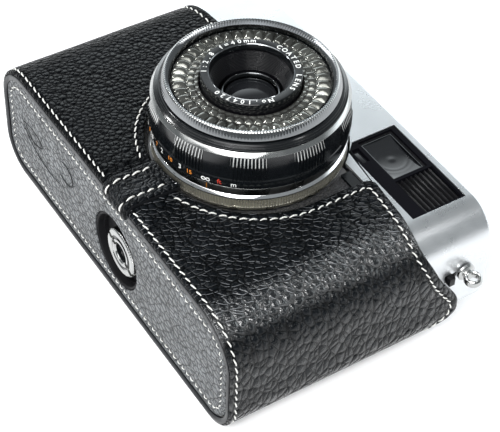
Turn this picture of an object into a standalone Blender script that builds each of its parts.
"""A compact 35 mm viewfinder camera lying on its back in a fitted leather half case.

Everything is described in the camera's own axes, in millimetres: X towards the viewfinder end, Y towards
the top cover, Z out of the lens. Y is 0 at the camera's base and Z is 0 at the front face of the top cover.
One empty turns those axes into the world's: it centres the object and stands the case's back on the ground.
"""

import math

import bmesh
import bpy
from mathutils import Matrix, Vector

MM = 0.001

# The leather half case
CASE_HALF_WIDTH = 62.0
CASE_FRONT = 2.1
CASE_BACK = -37.25
CASE_BOTTOM = -8.45
FRONT_CORNER, BACK_CORNER = 15.0, 10.5
END_LEATHER = 2.2
FRONT_LEATHER = 1.8
BACK_LEATHER = 2.15
INNER_FRONT_CORNER, INNER_BACK_CORNER = 10.5, 8.3
RIM_STEP = 0.35  # how far the bottom panel lies inside the walls' cut edge
FRONT_RIM = 4.3  # the front wall is folded double where the bottom panel meets it
FRONT_ROUNDING = 2.35
FLOOR_CORNER = 9.0
BACK_OPENING_HALF = 56.6
BACK_RIM_TOP = 3.9
STRIP_LEFT, STRIP_RIGHT = -0.6, 11.3
STRIP_FRONT, STRIP_BOTTOM = 3.0, -8.9
LEFT_CUT_RADIUS = 27.9
RIGHT_CUT_WIDE, RIGHT_CUT_LOW = 30.8, 29.0
WELL = (3.5, -20.6)
WELL_RADIUS = 10.4

# The camera body
HALF_WIDTH = 59.5
BODY_BACK = -34.8
BODY_CORNER = 10.0
BODY_TOP = 73.0
COVER_LOW = 50.6
COVER_WALL = 0.9
TRAY_TOP = 4.0
CHASSIS_HALF = 58.4
CHASSIS_FRONT, CHASSIS_BACK = -1.9, -32.0
CHASSIS_LOW, CHASSIS_TOP = 1.1, 50.2
GAP = 0.3  # between neighbours that touch on the real camera

# The lens, on its own axis
LENS_X, LENS_Y = 2.47, 33.82
LENS_OPENING = 27.0
RING_STEPS = 40
SMALL_STEPS = 24

# The viewfinder window in the top cover's front
WINDOW_LEFT, WINDOW_RIGHT = 17.9, 49.7
WINDOW_LOW, WINDOW_HIGH = 53.6, 70.5
WINDOW_CHAMFER = 3.0
FINDER_LEFT, FINDER_RIGHT = 19.2, 34.8
FINDER_LOW, FINDER_HIGH = 58.3, 68.6

# Controls, as (x, z) of each vertical axis
BUTTON = (-38.0, -15.0)
REWIND = (43.0, -18.0)
WHEEL = (-44.0, -25.5)
WHEEL_RADIUS = 11.4
WHEEL_LOW, WHEEL_HIGH = 53.6, 57.4
DIAL = (-49.0, -21.0)
DIAL_GLASS = (-50.5, -18.0)
SPOOL = (-43.0, -20.0)
SPROCKET = (-24.75, -26.5)
SOCKET = (4.4, -21.1)
METER = (-13.0, -17.0)
SHOE_X = 0.0
LUG_Y, LUG_Z = 64.9, -16.2
LUG_RING_X = 63.3
DOOR_AXIS = (-55.2, -34.4)
CRANK_PIVOT = (REWIND[0] - 5.4, 79.5)
CRANK_BOSS = 1.15

Y_MIDDLE = (STRIP_BOTTOM + CRANK_PIVOT[1] + CRANK_BOSS) / 2

AXIS_TURNS = {
    "X": Matrix(((0, 0, 1), (1, 0, 0), (0, 1, 0))),
    "Y": Matrix(((1, 0, 0), (0, 0, 1), (0, -1, 0))),
    "Z": Matrix.Identity(3),
}
# A plate's outline reads (x, z) when it is extruded along Y, so its own axis then points along -Y.
PLATE_TURNS = {
    "X": AXIS_TURNS["X"],
    "Y": Matrix(((1, 0, 0), (0, 0, -1), (0, 1, 0))),
    "Z": AXIS_TURNS["Z"],
}

LOOKS = {
    "black_leather": ((0.018, 0.018, 0.02), 0.5, 0.0),
    "leather_lining": ((0.05, 0.045, 0.04), 0.9, 0.0),
    "satin_chrome": ((0.78, 0.79, 0.79), 0.32, 1.0),
    "bright_chrome": ((0.85, 0.85, 0.85), 0.12, 1.0),
    "cast_alloy": ((0.32, 0.32, 0.33), 0.55, 1.0),
    "black_enamel": ((0.015, 0.015, 0.017), 0.25, 0.0),
    "black_plastic": ((0.02, 0.02, 0.022), 0.4, 0.0),
    "matte_black": ((0.012, 0.012, 0.012), 0.8, 0.0),
    "leatherette": ((0.03, 0.03, 0.032), 0.65, 0.0),
    "spring_steel": ((0.6, 0.6, 0.62), 0.3, 1.0),
    "olive_alloy": ((0.42, 0.41, 0.36), 0.35, 1.0),
    "lens_glass": ((0.85, 0.9, 0.95), 0.02, 0.0),
    "cell_glass": ((0.8, 0.8, 0.78), 0.1, 0.0),
    "selenium": ((0.12, 0.12, 0.11), 0.35, 0.2),
    "dial_white": ((0.8, 0.8, 0.78), 0.6, 0.0),
}


def clear_scene():
    for obj in list(bpy.data.objects):
        bpy.data.objects.remove(obj, do_unlink=True)


def new_collection(name):
    collection = bpy.data.collections.new(name)
    bpy.context.scene.collection.children.link(collection)
    return collection


def material(look):
    if look in bpy.data.materials:
        return bpy.data.materials[look]
    colour, roughness, metallic = LOOKS[look]
    made = bpy.data.materials.new(look)
    made.use_nodes = True
    shader = made.node_tree.nodes["Principled BSDF"]
    shader.inputs["Base Color"].default_value = (*colour, 1)
    shader.inputs["Roughness"].default_value = roughness
    shader.inputs["Metallic"].default_value = metallic
    return made


def pivot(name, at, parent=None):
    """An empty at a point of the camera's axes. Moving pieces hang on one that lies on their joint's axis."""
    empty = bpy.data.objects.new(name, None)
    PARTS.objects.link(empty)
    empty.empty_display_size = 0.01
    empty["at"] = at
    if parent:
        empty.parent = parent
        at = Vector(at) - Vector(parent["at"])
    empty.location = Vector(at) * MM
    return empty


def place(obj, look, group, at, turn=None):
    """Hangs an object with its origin at a point of the camera's axes, or makes it a cutter if it has no look."""
    if look:
        obj.data.materials.append(material(look))
        PARTS.objects.link(obj)
    else:
        CUTTERS.objects.link(obj)
        obj.hide_render = True
        obj.display_type = "WIRE"
    group = group or CAMERA
    obj.parent = group
    obj.location = (Vector(at) - Vector(group["at"])) * MM
    if turn:
        obj.rotation_euler = turn.to_euler()
    return obj


def mesh_object(name, bm):
    mesh = bpy.data.meshes.new(name)
    bm.to_mesh(mesh)
    bm.free()
    return bpy.data.objects.new(name, mesh)


def block(name, low, high, look=None, group=None):
    """A box between two corners, with its origin at its middle."""
    low, high = Vector(low), Vector(high)
    bm = bmesh.new()
    bmesh.ops.create_cube(bm, size=1)
    bmesh.ops.scale(bm, vec=(high - low) * MM, verts=bm.verts)
    return place(mesh_object(name, bm), look, group, (low + high) / 2)


def plate(name, outlines, low, high, along, look=None, group=None):
    """A flat outline, with any holes as further outlines, made as thick as from low to high along an axis.

    The outline's points are (x, y) along Z, (x, z) along Y and (y, z) along X.
    """
    curve = bpy.data.curves.new(name, "CURVE")
    curve.dimensions = "2D"
    curve.fill_mode = "BOTH"
    curve.extrude = (high - low) / 2 * MM
    for outline in outlines:
        spline = curve.splines.new("POLY")
        spline.points.add(len(outline) - 1)
        for point, (u, v) in zip(spline.points, outline):
            point.co = (u * MM, v * MM, 0, 1)
        spline.use_cyclic_u = True
    flat = bpy.data.objects.new(name + "_outline", curve)
    bpy.context.scene.collection.objects.link(flat)
    graph = bpy.context.evaluated_depsgraph_get()
    mesh = bpy.data.meshes.new_from_object(flat.evaluated_get(graph))
    bpy.data.objects.remove(flat, do_unlink=True)
    bpy.data.curves.remove(curve)
    bm = bmesh.new()
    bm.from_mesh(mesh)
    bpy.data.meshes.remove(mesh)
    bmesh.ops.remove_doubles(bm, verts=bm.verts, dist=1e-6)
    bmesh.ops.recalc_face_normals(bm, faces=bm.faces)
    middle = (low + high) / 2
    at = {"X": (middle, 0, 0), "Y": (0, middle, 0), "Z": (0, 0, middle)}[along]
    return place(mesh_object(name, bm), look, group, at, PLATE_TURNS[along])


def turned(name, profile, at, along="Z", look=None, group=None, steps=SMALL_STEPS):
    """A solid of revolution from (radius, height) pairs that run down its outer side, from top to bottom.

    A profile that starts and ends on the axis is a solid piece, and any other one closes into a ring.
    """
    mesh = bpy.data.meshes.new(name)
    points = [(radius * MM, 0, height * MM) for radius, height in profile]
    edges = [(i, i + 1) for i in range(len(points) - 1)]
    if profile[0][0] or profile[-1][0]:
        edges.append((len(points) - 1, 0))
    mesh.from_pydata(points, edges, [])
    obj = bpy.data.objects.new(name, mesh)
    screw = obj.modifiers.new("turn", "SCREW")
    screw.steps = steps
    screw.render_steps = steps
    screw.use_merge_vertices = True
    screw.merge_threshold = 1e-5
    screw.use_smooth_shade = True
    return place(obj, look, group, at, AXIS_TURNS[along])


def drum(name, radius, low, high, at, along="Z", look=None, group=None, steps=SMALL_STEPS):
    profile = [(0, high), (radius, high), (radius, low), (0, low)]
    return turned(name, profile, at, along, look, group, steps)


def tube(name, bore, radius, low, high, at, along="Z", look=None, group=None, steps=SMALL_STEPS):
    profile = [(radius, high), (radius, low), (bore, low), (bore, high)]
    return turned(name, profile, at, along, look, group, steps)


def boolean(target, other, operation="DIFFERENCE"):
    step = target.modifiers.new(other.name, "BOOLEAN")
    step.operation = operation
    step.object = other
    return target


def bevel(obj, width, segments=2):
    step = obj.modifiers.new("edge", "BEVEL")
    step.width = width * MM
    step.segments = segments
    step.limit_method = "ANGLE"
    step.angle_limit = math.radians(50)
    return obj


def arc(cx, cy, radius, start, end, steps, height=None):
    """Points of a circle's arc, or of an ellipse's if it has another height."""
    height = height or radius
    angles = [math.radians(start + (end - start) * i / steps) for i in range(steps + 1)]
    return [(cx + radius * math.cos(a), cy + height * math.sin(a)) for a in angles]


def rounded(x0, x1, y0, y1, radius, steps=6):
    """A rectangle's outline with round corners."""
    return (
        arc(x1 - radius, y1 - radius, radius, 0, 90, steps)
        + arc(x0 + radius, y1 - radius, radius, 90, 180, steps)
        + arc(x0 + radius, y0 + radius, radius, 180, 270, steps)
        + arc(x1 - radius, y0 + radius, radius, 270, 360, steps)
    )


def rectangle(x0, x1, y0, y1):
    return [(x0, y0), (x1, y0), (x1, y1), (x0, y1)]


def circle(cx, cy, radius, steps=24):
    return arc(cx, cy, radius, 0, 360, steps)[:-1]


def on_lens(height=0.0):
    return (LENS_X, LENS_Y, height)


# ---------------------------------------------------------------------------- the camera's body


def make_chassis():
    outline = rounded(-CHASSIS_HALF, CHASSIS_HALF, CHASSIS_BACK, CHASSIS_FRONT, 9.0)
    chassis = plate("chassis", [outline], CHASSIS_LOW, CHASSIS_TOP, "Y", "cast_alloy")
    behind = CHASSIS_BACK - 1
    hollows = {
        "cassette_chamber": ((30, 3.5, behind), (55.6, 47.8, -6.5)),
        "take_up_chamber": ((-54, 5, behind), (-32, 48, -8)),
        "film_gate": ((LENS_X - 18, LENS_Y - 12, behind), (LENS_X + 18, LENS_Y + 12, -9)),
        "sprocket_pocket": ((-30, 9, behind), (-19.5, 46, -21)),
    }
    for name, (low, high) in hollows.items():
        boolean(chassis, block(name, low, high))
    post_right, arm_low, arm_high = BUTTON[0] + 11.5, 61.8, 63.0
    boolean(chassis, block("bracket_post", (post_right - 3, 49, -19), (post_right, arm_high, -11)), "UNION")
    boolean(chassis, block("bracket_arm", (BUTTON[0] - 4, arm_low, -18), (post_right - 1, arm_high, -12)), "UNION")
    boolean(chassis, drum("bracket_bore", 2.2, 60, 65, (BUTTON[0], 0, BUTTON[1]), "Y"))
    boolean(chassis, drum("lens_throat", 15, -12, 1, on_lens(), steps=32))
    boolean(chassis, drum("socket_hole", 5.3, 0, 8.3, (SOCKET[0], 0, SOCKET[1]), "Y"))
    boolean(chassis, drum("spindle_hole", 3.3, 46, 52, (REWIND[0], 0, REWIND[1]), "Y"))
    boolean(chassis, drum("release_hole", 2.5, 0, 10, (SPROCKET[0], 0, SPROCKET[1]), "Y"))


def make_bottom_cover():
    outline = rounded(-HALF_WIDTH, HALF_WIDTH, BODY_BACK, -GAP, BODY_CORNER - 0.3)
    cover = plate("bottom_cover", [outline], 0, TRAY_TOP, "Y", "satin_chrome")
    inside = CHASSIS_HALF + GAP
    hollow = rounded(-inside, inside, BODY_BACK + 0.8, CHASSIS_FRONT + 0.8, 9.0)
    boolean(cover, plate("tray_hollow", [hollow], 0.8, TRAY_TOP + 1, "Y"))
    boolean(cover, drum("tray_socket_hole", 5.3, -1, 2, (SOCKET[0], 0, SOCKET[1]), "Y"))
    boolean(cover, drum("tray_release_hole", 2.5, -1, 2, (SPROCKET[0], 0, SPROCKET[1]), "Y"))
    tube("tripod_socket", 3.3, 5.0, 0.1, 8.0, (SOCKET[0], 0, SOCKET[1]), "Y", "bright_chrome")


def window_outline(inset=0.0):
    left, right = WINDOW_LEFT + inset, WINDOW_RIGHT - inset
    low, high = WINDOW_LOW + inset, WINDOW_HIGH - inset
    return [(left + WINDOW_CHAMFER, low), (right, low), (right, high), (left, high), (left, low + WINDOW_CHAMFER)]


def make_top_cover():
    outline = rounded(-HALF_WIDTH, HALF_WIDTH, BODY_BACK, 0, BODY_CORNER, 8)
    cover = plate("top_cover", [outline], COVER_LOW, BODY_TOP, "Y", "satin_chrome")
    bevel(cover, 0.7)
    inside = HALF_WIDTH - COVER_WALL
    hollow = rounded(-inside, inside, BODY_BACK + COVER_WALL, -COVER_WALL, BODY_CORNER - COVER_WALL, 8)
    boolean(cover, plate("cover_hollow", [hollow], COVER_LOW - 1, BODY_TOP - COVER_WALL, "Y"))
    boolean(cover, plate("window_opening", [window_outline()], -2, 1, "Z"))
    boolean(cover, drum("cover_lens_opening", LENS_OPENING, -2, 1, on_lens(), steps=RING_STEPS))
    holes = {"button_hole": (BUTTON, 5.2), "dial_hole": (DIAL_GLASS, 3.8), "spindle_passage": (REWIND, 3.2)}
    for name, (centre, radius) in holes.items():
        boolean(cover, drum(name, radius, BODY_TOP - 3, BODY_TOP + 1, (centre[0], 0, centre[1]), "Y"))
    behind, inner = BODY_BACK - 1, BODY_BACK + 3
    boolean(cover, block("eyepiece_hole", (22.2, 59.7, behind), (31.8, 67.3, inner)))
    reach = WHEEL_RADIUS + 0.2
    slot_low = (WHEEL[0] - reach, WHEEL_LOW - 0.4, behind)
    slot_high = (WHEEL[0] + reach, WHEEL_HIGH + 0.4, inner)
    boolean(cover, block("wheel_slot", slot_low, slot_high))
    boolean(cover, block("latch_slot", (HALF_WIDTH - 2, 58.6, -17.9), (HALF_WIDTH + 1, 62.2, -15.3)))


def make_body_skin():
    """The leatherette round the front and the ends, and the glossy strip between it and the top cover."""
    outer, inner, front, skin = 59.2, 58.7, -1.0, 0.5
    back = -28.0
    corner = 9.5
    around = [(-outer, back)]
    around += arc(-outer + corner, front - corner, corner, 180, 90, 6)
    around += arc(outer - corner, front - corner, corner, 90, 0, 6)
    around += [(outer, back), (inner, back)]
    around += arc(outer - corner, front - corner, corner - skin, 0, 90, 6)
    around += arc(-outer + corner, front - corner, corner - skin, 90, 180, 6)
    around += [(-inner, back)]
    leatherette = plate("body_leatherette", [around], 4.3, 47.0, "Y", "leatherette")
    boolean(leatherette, drum("skin_opening", LENS_OPENING, -4, 2, on_lens(), steps=RING_STEPS))
    beside = 23.8
    for name, ends in (("left", (-48, LENS_X - beside)), ("right", (LENS_X + beside, 48))):
        block("front_trim_" + name, (ends[0], 47.3, -1.6), (ends[1], 50.3, -0.6), "black_enamel")


def make_back_door():
    hinge = pivot("back_door_axis", (DOOR_AXIS[0], 0, DOOR_AXIS[1]), CAMERA)
    door_low, door_high = 4.4, 50.2
    door = block("back_door", (DOOR_AXIS[0], door_low, BODY_BACK), (56, door_high, -34.0), "satin_chrome", hinge)
    knuckle = drum("door_knuckle", 1.15, door_low, door_high, (DOOR_AXIS[0], 0, DOOR_AXIS[1]), "Y", group=hinge, steps=16)
    bore = drum("knuckle_bore", 0.75, 0, 60, (DOOR_AXIS[0], 0, DOOR_AXIS[1]), "Y", group=hinge, steps=16)
    boolean(door, knuckle, "UNION")
    boolean(door, bore)
    drum("hinge_pin", 0.45, 4.3, 50.3, (DOOR_AXIS[0], 0, DOOR_AXIS[1]), "Y", "spring_steel", steps=12)
    block("door_leatherette", (-50, 5.2, -35.6), (52, 49.4, -35.1), "leatherette", hinge)
    spring_low, spring_high = (LENS_X - 20, LENS_Y - 3, -33.7), (LENS_X + 20, LENS_Y + 3, -33.25)
    block("pressure_spring", spring_low, spring_high, "spring_steel", hinge)
    plate_low, plate_high = (LENS_X - 26, LENS_Y - 16, -32.95), (LENS_X + 26, LENS_Y + 16, -32.35)
    block("pressure_plate", plate_low, plate_high, "matte_black", hinge)


def make_back_latch():
    slide = pivot("back_latch_axis", (59.8, 59.8, -16.6), CAMERA)
    latch = block("back_latch", (59.8, 59.0, -18.0), (61.2, 60.7, -15.2), "black_plastic", slide)
    boolean(latch, block("latch_stem", (57.4, 59.2, -17.5), (60.2, 60.4, -15.7), group=slide), "UNION")
    boolean(latch, block("latch_tongue", (57.0, 52.0, -18.0), (58.2, 61.0, -15.2), group=slide), "UNION")


def make_strap_lugs():
    """A round foot on each end of the top cover, and an eyelet whose hole runs front to back."""
    for side, name in ((1, "strap_lug_right"), (-1, "strap_lug_left")):
        root = HALF_WIDTH + GAP
        foot = [(0, root + 1.9), (1.5, root + 1.9), (1.5, root + 0.9), (2.6, root + 0.7), (2.6, root), (0, root)]
        if side < 0:
            foot = [(radius, -height) for radius, height in reversed(foot)]
        lug = turned(name, foot, (0, LUG_Y, LUG_Z), "X", "bright_chrome", steps=16)
        ring_x = side * LUG_RING_X
        ring = drum(name + "_ring", 2.4, -1.0, 1.0, (ring_x, LUG_Y, LUG_Z), steps=20)
        hole = drum(name + "_hole", 1.3, -2.0, 2.0, (ring_x, LUG_Y, LUG_Z), steps=16)
        boolean(lug, ring, "UNION")
        boolean(lug, hole)


# ---------------------------------------------------------------------------- the viewfinder


def make_viewfinder():
    finder = rectangle(FINDER_LEFT, FINDER_RIGHT, FINDER_LOW, FINDER_HIGH)
    readout = rectangle(20.6, 25.9, 54.7, 56.8)
    grille_hole = rectangle(36.0, 49.0, 57.6, 69.8)
    outlines = [window_outline(GAP), finder, readout, grille_hole]
    plate("window_frame", outlines, -1.6, -0.6, "Z", "black_plastic")
    make_rib_grille(57.9, 69.5)
    inside = GAP
    lens_low = (FINDER_LEFT + inside, FINDER_LOW + inside, -2.6)
    lens_high = (FINDER_RIGHT - inside, FINDER_HIGH - inside, -0.9)
    bevel(block("viewfinder_lens", lens_low, lens_high, "lens_glass"), 0.4, 1)
    wall = 0.8
    shell = rectangle(FINDER_LEFT - wall, FINDER_RIGHT + wall, FINDER_LOW - wall, FINDER_HIGH + wall)
    plate("finder_tube", [shell, finder], -31.5, -1.9, "Z", "matte_black")
    eyepiece = [rounded(20.5, 33.5, 58.0, 69.0, 2.0, 3), rounded(22.5, 31.5, 60.0, 67.0, 1.0, 3)]
    plate("eyepiece_frame", eyepiece, -37.0, BODY_BACK - GAP, "Z", "black_plastic")
    plate("eyepiece_lens", [rounded(22.8, 31.2, 60.3, 66.7, 0.8, 3)], -36.2, -34.0, "Z", "lens_glass")


def make_rib_grille(low, high, ribs=8):
    """Ribs along X on a thin base, as a comb in (y, z)."""
    pitch = (high - low) / ribs
    comb = [(high, -1.9), (low, -1.9)]
    for i in range(ribs):
        start = low + i * pitch
        comb += [(start, -0.9), (start + 0.25 * pitch, -0.3), (start + 0.6 * pitch, -0.3), (start + 0.85 * pitch, -0.9)]
    comb.append((high, -0.9))
    plate("rib_grille", [comb], 36.3, 48.7, "X", "black_plastic")


# ---------------------------------------------------------------------------- controls on the top


def coil(name, radius, wire, low, high, turns, centre, look):
    """A spring wound round a vertical axis."""
    curve = bpy.data.curves.new(name, "CURVE")
    curve.dimensions = "3D"
    curve.bevel_depth = wire * MM
    curve.bevel_resolution = 1
    curve.use_fill_caps = True
    spline = curve.splines.new("POLY")
    per_turn = 12
    count = turns * per_turn + 1
    spline.points.add(count - 1)
    for i, point in enumerate(spline.points):
        angle = math.tau * i / per_turn
        height = low + wire + (high - low - 2 * wire) * i / (count - 1)
        point.co = (radius * MM * math.cos(angle), radius * MM * math.sin(angle), height * MM, 1)
    spring = bpy.data.objects.new(name, curve)
    return place(spring, look, None, (centre[0], 0, centre[1]), AXIS_TURNS["Y"])


def make_shutter_button():
    centre = (BUTTON[0], 0, BUTTON[1])
    collar = [(6.2, 74.8), (7.0, 74.2), (7.0, 73.3), (5.25, 73.3), (5.25, 74.8)]
    turned("button_collar", collar, centre, "Y", "satin_chrome")
    press = pivot("shutter_button_axis", (BUTTON[0], BODY_TOP, BUTTON[1]), CAMERA)
    cap = [(0, 76.2), (1.3, 76.2), (1.3, 77.8), (4.3, 78.0), (4.9, 77.4), (4.9, 71.5)]
    cap += [(1.8, 71.5), (1.8, 60.5), (0, 60.5)]
    turned("shutter_button", cap, centre, "Y", "bright_chrome", press)
    coil("button_spring", 3.0, 0.35, 63.3, 71.2, 4, BUTTON, "spring_steel")


def make_rewind():
    """The pull-up spindle, its knob, and the crank that folds out of the knob's top."""
    centre = (REWIND[0], 0, REWIND[1])
    lift = pivot("rewind_axis", (REWIND[0], BODY_TOP, REWIND[1]), CAMERA)
    knob_profile = [(0, 78.0), (8.2, 78.0), (8.6, 77.6), (8.6, 73.8), (8.2, 73.4), (0, 73.4)]
    knob = turned("rewind_knob", knob_profile, centre, "Y", "satin_chrome", lift, 32)
    pin_x, pin_y = CRANK_PIVOT
    for side in (-1, 1):
        middle = REWIND[1] + side * 2.85
        low, high = (pin_x - 1.1, 77.5, middle - 0.75), (pin_x + 1.1, pin_y + 0.9, middle + 0.75)
        boolean(knob, block(f"crank_ear_{side + 1}", low, high, group=lift), "UNION")
    grip_x = REWIND[0] + 4.8
    boolean(knob, drum("grip_recess", 2.6, 75.8, 79, (grip_x, 0, REWIND[1]), "Y", group=lift, steps=20))
    boolean(knob, drum("crank_pin", 0.5, -3.0, 3.0, (pin_x, pin_y, REWIND[1]), group=lift, steps=12), "UNION")
    shaft = [(0, 73.1), (2.2, 73.1), (2.2, 48.6), (2.8, 48.2), (2.8, 45.2), (0, 45.2)]
    spindle = turned("rewind_shaft", shaft, centre, "Y", "bright_chrome", lift)
    slot_low, slot_high = (REWIND[0] - 1.1, 44, REWIND[1] - 4), (REWIND[0] + 1.1, 47.4, REWIND[1] + 4)
    boolean(spindle, block("fork_slot", slot_low, slot_high, group=lift))
    tube("rewind_sleeve", 2.4, 2.95, 58.0, 73.1, centre, "Y", "spring_steel", lift)
    fold = pivot("rewind_crank_axis", (pin_x, pin_y, REWIND[1]), lift)
    bar_low, bar_high = (pin_x, pin_y - 0.45, REWIND[1] - 1.8), (grip_x + 2.0, pin_y + 0.45, REWIND[1] + 1.8)
    crank = block("rewind_crank", bar_low, bar_high, "bright_chrome", fold)
    boolean(crank, drum("crank_boss", CRANK_BOSS, -1.8, 1.8, (pin_x, pin_y, REWIND[1]), group=fold, steps=16), "UNION")
    boolean(crank, drum("crank_grip", 1.9, 76.5, 79.3, (grip_x, 0, REWIND[1]), "Y", group=fold, steps=16), "UNION")
    boolean(crank, drum("crank_bore", 0.7, -3, 3, (pin_x, pin_y, REWIND[1]), group=fold, steps=12))


def make_hot_shoe():
    low, lip, rail, half = 73.3, 75.6, 76.5, 10.5
    inner, mouth = half - 1.0, half - 2.7
    channel = [(-half, low), (half, low), (half, rail), (mouth, rail), (mouth, lip), (inner, lip)]
    channel += [(inner, low + 0.7), (-inner, low + 0.7), (-inner, lip), (-mouth, lip), (-mouth, rail), (-half, rail)]
    shoe = plate("hot_shoe", [[(SHOE_X + x, y) for x, y in channel]], -27, -9, "Z", "satin_chrome")
    boolean(shoe, drum("contact_hole", 2.6, 72, 75, (SHOE_X, 0, -17), "Y"))
    drum("shoe_contact", 2.3, 73.3, 74.3, (SHOE_X, 0, -17), "Y", "bright_chrome", steps=16)


def make_film_advance():
    """The thumbwheel, and what turns with it: the sprocket, the take-up spool and the frame counter."""
    wheel_at = (WHEEL[0], 0, WHEEL[1])
    hub_low, hub_high = WHEEL_LOW - 1.8, WHEEL_HIGH + 4
    wheel = [(0, hub_high), (3, hub_high), (3, WHEEL_HIGH), (WHEEL_RADIUS - 0.5, WHEEL_HIGH)]
    wheel += [(WHEEL_RADIUS, WHEEL_HIGH - 0.5), (WHEEL_RADIUS, WHEEL_LOW + 0.5), (WHEEL_RADIUS - 0.5, WHEEL_LOW)]
    wheel += [(3, WHEEL_LOW), (3, hub_low), (0, hub_low)]
    turned("advance_wheel", wheel, wheel_at, "Y", "black_plastic", steps=RING_STEPS)
    core, flange = 4.6, 9.0
    spool = [(0, 47.6), (flange, 47.6), (flange, 46.4), (core, 46.4), (core, 6.6), (flange, 6.6), (flange, 5.4), (0, 5.4)]
    turned("take_up_spool", spool, (SPOOL[0], 0, SPOOL[1]), "Y", "black_plastic")
    teeth, waist = 4.6, 3.7
    sprocket = [(0, 45.6), (teeth, 45.6), (teeth, 42.4), (waist, 42.4), (waist, 13.6), (teeth, 13.6), (teeth, 10.4), (0, 10.4)]
    turned("sprocket_drum", sprocket, (SPROCKET[0], 0, SPROCKET[1]), "Y", "black_plastic", steps=16)
    drum("rewind_release_button", 2.1, 0.3, 8.6, (SPROCKET[0], 0, SPROCKET[1]), "Y", "bright_chrome", steps=16)
    drum("counter_dial", 5.6, 70.6, 71.2, (DIAL[0], 0, DIAL[1]), "Y", "dial_white")
    glass = [(0, 73.5), (3.0, 73.4), (3.5, 73.1), (3.5, 72.2), (0, 72.2)]
    turned("counter_window", glass, (DIAL_GLASS[0], 0, DIAL_GLASS[1]), "Y", "lens_glass")
    drum("meter_unit", 7.0, 51.2, 60.0, (METER[0], 0, METER[1]), "Y", "black_plastic")


# ---------------------------------------------------------------------------- the lens


def make_lens_rings():
    """From the body outwards: flange, aperture ring, barrel with its collar, focus ring, front rings."""
    rings = {
        "lens_flange": ("bright_chrome", [(26.4, -0.9), (26.4, -1.6), (14.4, -1.6), (14.4, -0.9)]),
        "aperture_ring": (
            "olive_alloy",
            [(25.9, 3.65), (26.4, 3.0), (26.4, -0.55), (23.3, -0.55), (23.3, 3.65)],
        ),
        "lens_barrel": (
            "black_enamel",
            [(22.9, 18.0), (22.9, 6.3), (26.1, 6.3), (26.1, 3.95), (22.9, 3.95), (22.9, -0.55), (19.2, -0.55), (19.2, 18.0)],
        ),
        "focus_ring": ("black_enamel", [(25.8, 18.1), (26.9, 16.8), (26.9, 6.65), (23.25, 6.65), (23.25, 18.1)]),
        "front_barrel": (
            "black_enamel",
            [(24.2, 19.8), (25.3, 18.5), (19.3, 18.5), (19.3, 19.4), (21.1, 19.4), (21.1, 19.8)],
        ),
        "filmspeed_ring": (
            "bright_chrome",
            [(22.8, 22.65), (23.2, 22.25), (23.2, 20.1), (21.2, 20.1), (21.2, 22.0), (21.8, 22.65)],
        ),
        "cell_window": ("cell_glass", [(20.9, 21.0), (20.9, 19.75), (13.7, 19.75), (13.7, 21.0)]),
        "selenium_cell": ("selenium", [(18.9, 19.4), (18.9, 18.4), (13.7, 18.4), (13.7, 19.4)]),
        "name_ring": ("black_enamel", [(13.3, 23.3), (13.3, 21.6), (10.9, 21.6), (10.9, 23.3)]),
        "baffle": (
            "matte_black",
            [(13.3, 21.3), (13.3, 14.4), (18.8, 14.4), (18.8, 13.3), (8.6, 13.3), (8.6, 16.9), (10.5, 21.3)],
        ),
    }
    for name, (look, profile) in rings.items():
        turned(name, profile, on_lens(), look=look, steps=RING_STEPS)


def glass_disc(name, radius, low, high, front_bulge, back_bulge, group=None):
    """A lens element: rim from low to high, with its faces bulging out, or in if the bulge is negative."""
    rings = 3
    fractions = [i / rings for i in range(rings + 1)]
    front = [(radius * f, high + front_bulge * (1 - f * f)) for f in fractions]
    back = [(radius * f, low - back_bulge * (1 - f * f)) for f in reversed(fractions)]
    return turned(name, front + back, on_lens(), look="lens_glass", group=group)


def make_optics():
    focus = pivot("front_cell_axis", on_lens(14.0), CAMERA)
    tube("front_cell_ring", 7.1, 8.2, 14.0, 16.6, on_lens(), look="bright_chrome", group=focus)
    glass_disc("front_element", 6.8, 14.0, 15.3, 1.1, -0.2, focus)
    glass_disc("middle_element", 6.1, 8.6, 9.8, -0.4, -0.4)
    glass_disc("rear_element", 6.1, 0.6, 1.8, 0.5, 0.7)
    bore, outside, chamber = 6.5, 18.7, 14.0
    top, foot, ceiling, floor = 12.9, -0.5, 6.1, 3.5
    housing = [(outside, top), (outside, foot), (bore, foot), (bore, floor), (chamber, floor), (chamber, ceiling)]
    housing += [(bore, ceiling), (bore, top)]
    turned("shutter_housing", housing, on_lens(), look="matte_black", steps=32)


def make_shutter_blades():
    """Two blades on one pivot below the bore. Each is a half disc with an arm, and together they shut the bore."""
    drop, eye, blade_radius, lap = 11.0, 2.1, 7.2, 0.7
    hub = pivot("shutter_blade_axis", (LENS_X, LENS_Y - drop, 4.0), CAMERA)
    for name, side, low, high in (("shutter_blade_a", -1, 4.15, 4.5), ("shutter_blade_b", 1, 5.1, 5.45)):
        half = [(-lap, blade_radius - 0.1)] + arc(0, 0, blade_radius, 82, -95, 12)
        arm = [(0.4, -drop + eye)] + arc(0, -drop, eye, 60, -240, 10) + [(-1.6, -drop + eye + 0.6)]
        outline = half + arm[1:]
        points = [(LENS_X + side * x, LENS_Y + y) for x, y in outline]
        bore = circle(LENS_X, LENS_Y - drop, 0.8, 12)
        plate(name, [points, bore], low, high, "Z", "matte_black", hub)


# ---------------------------------------------------------------------------- the half case


def smooth(points, steps):
    """A Catmull-Rom curve through the points."""
    ends = [points[0]] + list(points) + [points[-1]]
    curve = []
    for a, b, c, d in zip(ends, ends[1:], ends[2:], ends[3:]):
        for i in range(steps):
            t = i / steps
            curve.append(
                tuple(
                    0.5 * (2 * q + (r - p) * t + (2 * p - 5 * q + 4 * r - s) * t * t + (3 * q - p - 3 * r + s) * t**3)
                    for p, q, r, s in zip(a, b, c, d)
                )
            )
    return curve + [points[-1]]


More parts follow.
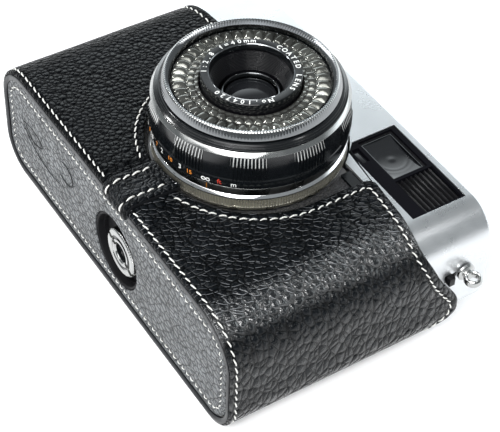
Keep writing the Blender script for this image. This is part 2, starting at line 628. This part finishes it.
def wall_outline(end, front, back, front_corner, back_corner, steps=8):
    """The case's plan, (x, z), set in from its outer faces by these amounts."""
    x = CASE_HALF_WIDTH - end
    front, back = CASE_FRONT - front, CASE_BACK + back
    return (
        arc(x - front_corner, front - front_corner, front_corner, 0, 90, steps)
        + arc(-x + front_corner, front - front_corner, front_corner, 90, 180, steps)
        + arc(-x + back_corner, back + back_corner, back_corner, 180, 270, steps)
        + arc(x - back_corner, back + back_corner, back_corner, 270, 360, steps)
    )


def lens_cut():
    """The cut-out that clears the lens: narrow on the left, wider on the right, with round upper corners."""
    above, edge, fillet = 90.0, 52.0, 2.5
    left, right = LENS_X - LEFT_CUT_RADIUS, LENS_X + RIGHT_CUT_WIDE
    outline = arc(LENS_X, LENS_Y, LEFT_CUT_RADIUS, 180, 270, 12)
    outline += arc(LENS_X, LENS_Y, RIGHT_CUT_WIDE, 270, 360, 12, RIGHT_CUT_LOW)
    outline += arc(right + fillet, edge - fillet, fillet, 180, 90, 4)
    outline += [(right + fillet, above), (left - fillet, above)]
    outline += arc(left - fillet, edge - fillet, fillet, 90, 0, 4)
    return outline


def top_cuts(name):
    """What is cut off above the case's edge: level along the front, and rising to a tab on the ends."""
    far = 90.0
    half = [(33, 52.0), (44, 51.2), (54, 50.5), (63, 51.2), (80, 52.0)]
    front = smooth([(-x, y) for x, y in reversed(half)] + half, 3)
    front += [(80, far), (-80, far)]
    rise = [(50.6, 2.5), (51.2, -3), (53.3, -8.5), (55.8, -13.8), (58.65, -18), (61.2, -21.3), (62.4, -24.6)]
    rise += [(62.0, -27.9), (60.3, -30.6), (57.5, -32.6), (54, -35), (51, -40)]
    end = smooth(rise, 3) + [(far, -40), (far, 2.5)]
    yield plate(name + "_front_cut", [front], -3.0, 5.0, "Z")
    yield plate(name + "_end_cut", [end], -80, 80, "X")


def case_wall(name, left_side):
    """Half of the case's wall. The camera fills its upper hollow, and the base board and panel its lower one."""
    outer = wall_outline(0, 0, 0, FRONT_CORNER, BACK_CORNER)
    wall = plate(name, [outer], CASE_BOTTOM, 66, "Y", "black_leather", CASE)
    upper = wall_outline(END_LEATHER, FRONT_LEATHER, BACK_LEATHER, INNER_FRONT_CORNER, INNER_BACK_CORNER)
    boolean(wall, plate(name + "_upper_hollow", [upper], -GAP, 70, "Y"))
    lower = wall_outline(END_LEATHER, FRONT_RIM, BACK_LEATHER, FLOOR_CORNER, INNER_BACK_CORNER)
    boolean(wall, plate(name + "_lower_hollow", [lower], CASE_BOTTOM - 1, 1, "Y"))
    round_z, round_y = CASE_FRONT - FRONT_ROUNDING, CASE_BOTTOM + FRONT_ROUNDING
    edge = arc(round_y, round_z, FRONT_ROUNDING, 180, 90, 6) + [(round_y, 5), (-12, 5), (-12, round_z)]
    boolean(wall, plate(name + "_rounding", [edge], -80, 80, "X"))
    middle = (STRIP_LEFT + STRIP_RIGHT) / 2
    far = 80
    if left_side:
        keep_front, keep_back, away = STRIP_LEFT - GAP, middle - GAP / 2, far
    else:
        keep_front, keep_back, away = STRIP_RIGHT + GAP, middle + GAP / 2, -far
    cut_low, cut_high = sorted((keep_front, away))
    boolean(wall, block(name + "_front_end", (cut_low, -20, -10), (cut_high, far, 10)))
    cut_low, cut_high = sorted((keep_back, away))
    boolean(wall, block(name + "_back_end", (cut_low, -20, -45), (cut_high, far, -9)))
    boolean(wall, plate(name + "_lens_cut", [lens_cut()], -3, 5, "Z"))
    opening_low = (-BACK_OPENING_HALF, BACK_RIM_TOP, -45)
    boolean(wall, block(name + "_back_opening", opening_low, (BACK_OPENING_HALF, far, -30.5)))
    for cutter in top_cuts(name):
        boolean(wall, cutter)


def make_case():
    case_wall("case_left_panel", True)
    case_wall("case_right_panel", False)
    outline = wall_outline(
        END_LEATHER + GAP, FRONT_RIM + GAP, BACK_LEATHER + GAP, FLOOR_CORNER - GAP, INNER_BACK_CORNER - GAP
    )
    low = CASE_BOTTOM + RIM_STEP
    well = circle(*WELL, WELL_RADIUS, 32)
    plate("case_bottom_panel", [outline, well], low, low + 2.0, "Y", "black_leather", CASE)
    board_hole = circle(*SOCKET, 3.3, 20)
    board = plate("case_base_board", [outline, board_hole], -5.8, -0.4, "Y", "leather_lining", CASE)
    boolean(board, drum("well_floor", 10.0, -7, -4.2, (WELL[0], 0, WELL[1]), "Y", steps=32))
    make_centre_strip()
    make_case_screw()


def make_centre_strip():
    """The strap between the two walls' front ends, a little proud of them and folded over the bottom edge."""
    centre_y, centre_z = CASE_BOTTOM + FRONT_ROUNDING, CASE_FRONT - FRONT_ROUNDING
    top, inner, fold_end = 12, CASE_FRONT - FRONT_LEATHER, CASE_FRONT - FRONT_RIM
    profile = [(top, inner), (top, STRIP_FRONT)]
    profile += arc(centre_y, centre_z, centre_y - STRIP_BOTTOM, 90, 180, 6, STRIP_FRONT - centre_z)
    profile += [(STRIP_BOTTOM, fold_end), (-GAP, fold_end), (-GAP, inner)]
    strip = plate("case_centre_strip", [profile], STRIP_LEFT, STRIP_RIGHT, "X", "black_leather", CASE)
    boolean(strip, drum("strip_end", 27.5, -1, 6, on_lens(), steps=64))


def make_case_screw():
    """The coin-slotted screw that holds the case to the camera's tripod socket."""
    turn = pivot("case_screw_axis", (SOCKET[0], 0, SOCKET[1]), CASE)
    head_low, head_high, shank_top, head, shank = -7.25, -4.9, 5.0, 7.0, 2.8
    profile = [(0, shank_top), (shank - 0.4, shank_top), (shank, shank_top - 0.5), (shank, head_high)]
    profile += [(head, head_high), (head, head_low + 0.3), (head - 0.3, head_low), (2.6, head_low), (2.6, -5.6), (0, -5.6)]
    screw = turned("case_screw", profile, (SOCKET[0], 0, SOCKET[1]), "Y", "bright_chrome", turn, 32)
    slot = block("coin_slot", (SOCKET[0] - 9, head_low - 1, SOCKET[1] - 0.75), (SOCKET[0] + 9, head_low + 1, SOCKET[1] + 0.75))
    slot.rotation_euler = (0, math.radians(28), 0)
    boolean(screw, slot)


def make_everything():
    make_chassis()
    make_bottom_cover()
    make_top_cover()
    make_body_skin()
    make_back_door()
    make_back_latch()
    make_strap_lugs()
    make_viewfinder()
    make_shutter_button()
    make_rewind()
    make_hot_shoe()
    make_film_advance()
    make_lens_rings()
    make_optics()
    make_shutter_blades()
    make_case()


def shade_round_pieces():
    for obj in PARTS.objects:
        if obj.type == "MESH":
            obj.data.shade_smooth()
            obj.data.set_sharp_from_angle(angle=math.radians(35))


clear_scene()
PARTS = new_collection("viewfinder_camera")
CUTTERS = new_collection("cutters")
CAMERA = pivot("camera_axes", (0, 0, 0))
CAMERA.location = (0, -Y_MIDDLE * MM, -CASE_BACK * MM)
CASE = pivot("half_case_axis", (0, 0, 0), CAMERA)
make_everything()
shade_round_pieces()
